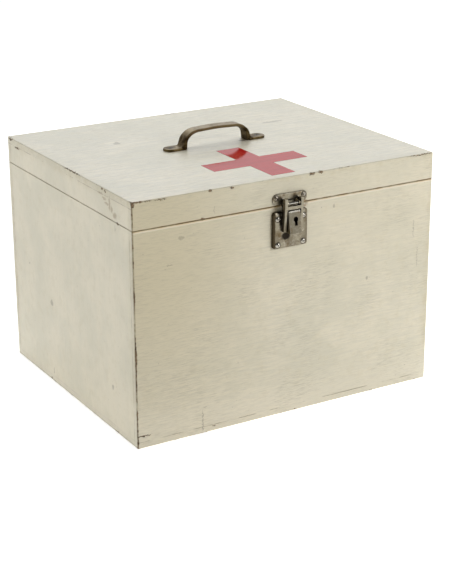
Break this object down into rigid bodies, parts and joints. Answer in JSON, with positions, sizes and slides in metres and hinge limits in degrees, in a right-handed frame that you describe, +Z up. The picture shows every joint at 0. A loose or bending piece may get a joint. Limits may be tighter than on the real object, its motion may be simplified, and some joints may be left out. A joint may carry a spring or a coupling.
{
  "type": "first aid box",
  "caption": "Antique cream-painted wooden first aid box with a hinged lid, a brass strap handle, a painted cross and a keyed hasp lock.",
  "frame": {"origin": "centre of the box's underside, where it rests", "axes": "+X to the right along the front, +Y towards the hinges, +Z up; the lock faces -Y"},
  "size_m": [0.355, 0.3176, 0.2768],
  "materials": {
    "painted_board": "semi-gloss cream paint on plywood, worn and chipped at the edges, bare inside",
    "painted_nail": "steel panel pins painted over with the boards",
    "red_paint": "thin semi-gloss red paint",
    "aged_brass": "brown aged brass, rubbed brighter on top",
    "plain_steel": "plain steel, slightly dulled",
    "hinge_steel": "plated steel, dulled and a little brown",
    "worn_nickel": "nickel-plated steel, worn, with brown tarnish",
    "latch_screw": "round slotted heads, worn bright at the top"
  },
  "bodies": {
    "base": {"front_panel": "painted_board", "back_panel": "painted_board", "left_panel": "painted_board", "right_panel": "painted_board", "bottom_panel": "painted_board", "corner_nails": "painted_nail", "bottom_nails": "painted_nail", "left_hinge_base_leaf": "hinge_steel", "right_hinge_base_leaf": "hinge_steel", "left_hinge_pin": "hinge_steel", "right_hinge_pin": "hinge_steel", "hinge_base_screws": "hinge_steel", "lock_plate": "worn_nickel", "lock_case": "worn_nickel", "key_post": "plain_steel", "bolt_spring": "plain_steel", "lock_plate_screws": "latch_screw"},
    "lid": {"lid_top": "painted_board", "lid_front_rail": "painted_board", "lid_back_rail": "painted_board", "lid_left_rail": "painted_board", "lid_right_rail": "painted_board", "lid_corner_nails": "painted_nail", "lid_top_nails": "painted_nail", "red_cross": "red_paint", "handle": "aged_brass", "handle_screws": "aged_brass", "handle_washers": "plain_steel", "handle_nuts": "plain_steel", "left_hinge_lid_leaf": "hinge_steel", "right_hinge_lid_leaf": "hinge_steel", "hinge_lid_screws": "hinge_steel", "hasp_plate": "worn_nickel", "hasp_pin": "worn_nickel", "hasp_plate_screws": "latch_screw"},
    "hasp": {"hasp": "worn_nickel"},
    "lock_bolt": {"lock_bolt": "plain_steel"}
  },
  "joints": [
    {"name": "lid_hinge", "type": "hinge", "parent": "base", "child": "lid", "pos_m": [0, 0.15185, 0.2272], "axis": [-1, 0, 0], "range_deg": [0, 180]},
    {"name": "hasp_hinge", "type": "hinge", "parent": "lid", "child": "hasp", "pos_m": [-0.0015, -0.1562, 0.2303], "axis": [-1, 0, 0], "range_deg": [0, 165]},
    {"name": "bolt_slide", "type": "slide", "parent": "base", "child": "lock_bolt", "axis": [-1, 0, 0], "range_m": [0, 0.003]}
  ]
}
